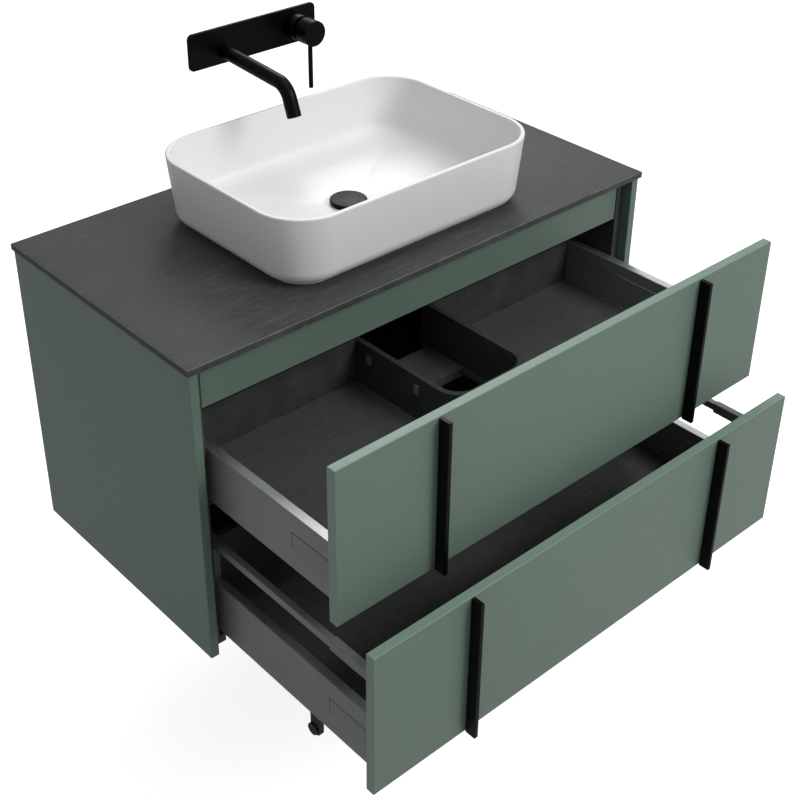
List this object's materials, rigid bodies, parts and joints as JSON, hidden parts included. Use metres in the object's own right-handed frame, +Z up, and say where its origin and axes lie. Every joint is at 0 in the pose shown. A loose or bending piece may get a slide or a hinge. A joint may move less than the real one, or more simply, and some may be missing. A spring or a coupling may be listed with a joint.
{
  "type": "vessel sink on vanity",
  "caption": "Wall-hung vanity with slate top, rectangular vessel basin, black wall mixer and deep drawers drawn open on their runners.",
  "frame": {"origin": "on the wall plane, in the middle of the cabinet width, at the centre of the four hanging screws", "axes": "+X to the right of a person facing the vanity, +Y into the wall, +Z up; the drawers open towards -Y"},
  "size_m": [1.009, 0.956, 0.887],
  "materials": {
    "green_lacquer": "matt lacquer",
    "grey_board": "anthracite faced board",
    "slate_top": "matt slate",
    "white_ceramic": "white glaze",
    "black_metal": "matt black coating",
    "grey_steel": "silk grey powder coat",
    "cap_plastic": "satin grey",
    "socket_plastic": "matt dark grey",
    "black_plastic": "matt black",
    "runner_steel": "zinc plated",
    "brass": "cast",
    "rubber": "black",
    "white_plastic": "white"
  },
  "bodies": {
    "cabinet": {"back_panel": "grey_board", "basin": "white_ceramic", "bottom_panel": "grey_board", "countertop": "slate_top", "front_rail": "green_lacquer", "hanger_hooks": "runner_steel", "inner_side_left": "grey_board", "inner_side_right": "grey_board", "lower_cabinet_runners": "runner_steel", "lower_rear_rail": "grey_board", "mixer_cartridge": "black_plastic", "mixer_collar": "black_metal", "mixer_plate": "black_metal", "mixer_wall_body": "brass", "side_panel_left": "green_lacquer", "side_panel_right": "green_lacquer", "spout": "black_metal", "spout_aerator": "black_plastic", "top_brackets": "runner_steel", "trap_cup": "white_plastic", "trap_head": "white_plastic", "trap_nuts": "white_plastic", "trap_pipe": "white_plastic", "upper_cabinet_runners": "runner_steel", "upper_rear_rail": "grey_board", "wall_plates": "runner_steel", "wall_rosette": "white_plastic", "waste_body": "black_metal", "waste_gasket": "rubber", "waste_nut": "white_plastic"},
    "upper_drawer": {"upper_backs": "grey_board", "upper_cover_caps": "cap_plastic", "upper_floor": "grey_board", "upper_front": "green_lacquer", "upper_front_brackets": "socket_plastic", "upper_glides": "socket_plastic", "upper_handles": "black_metal", "upper_side_left": "grey_steel", "upper_side_right": "grey_steel", "recess_liner": "grey_board", "recess_clips": "socket_plastic"},
    "lower_drawer": {"lower_back": "grey_board", "lower_cover_caps": "cap_plastic", "lower_floor": "grey_board", "lower_front": "green_lacquer", "lower_front_brackets": "socket_plastic", "lower_glides": "socket_plastic", "lower_handles": "black_metal", "lower_lock_wheels": "black_plastic", "lower_locks": "black_plastic", "lower_side_left": "grey_steel", "lower_side_right": "grey_steel", "gallery_rails": "grey_steel", "gallery_sockets": "socket_plastic"},
    "upper_runner": {"upper_middle_runners": "runner_steel"},
    "lower_runner": {"lower_middle_runners": "runner_steel"},
    "mixer_turn": {"control_hub": "black_metal"},
    "mixer_lever": {"control_cap": "black_metal", "lever_rod": "black_metal"},
    "waste_plug": {"waste_cap": "black_metal"}
  },
  "joints": [
    {"name": "upper_drawer_slide", "type": "slide", "parent": "cabinet", "child": "upper_drawer", "axis": [0, -1, 0], "range_m": [-0.305, 0.09]},
    {"name": "lower_drawer_slide", "type": "slide", "parent": "cabinet", "child": "lower_drawer", "axis": [0, -1, 0], "range_m": [-0.383, 0.012]},
    {"name": "upper_runner_slide", "type": "slide", "parent": "cabinet", "child": "upper_runner", "axis": [0, -1, 0], "range_m": [-0.1525, 0.045]},
    {"name": "lower_runner_slide", "type": "slide", "parent": "cabinet", "child": "lower_runner", "axis": [0, -1, 0], "range_m": [-0.1915, 0.006]},
    {"name": "control_turn", "type": "hinge", "parent": "cabinet", "child": "mixer_turn", "pos_m": [0.099, -0.036, 0.282], "axis": [0, 1, 0], "range_deg": [-45, 45]},
    {"name": "control_tilt", "type": "hinge", "parent": "mixer_turn", "child": "mixer_lever", "pos_m": [0.099, -0.036, 0.282], "axis": [-1, 0, 0], "range_deg": [0, 10]},
    {"name": "waste_cap_slide", "type": "slide", "parent": "cabinet", "child": "waste_plug", "axis": [0, 0, 1], "range_m": [0, 0.008]}
  ],
  "couplings": [
    {"joint": "upper_runner_slide", "follows": "upper_drawer_slide", "ratio": 0.5},
    {"joint": "lower_runner_slide", "follows": "lower_drawer_slide", "ratio": 0.5}
  ]
}
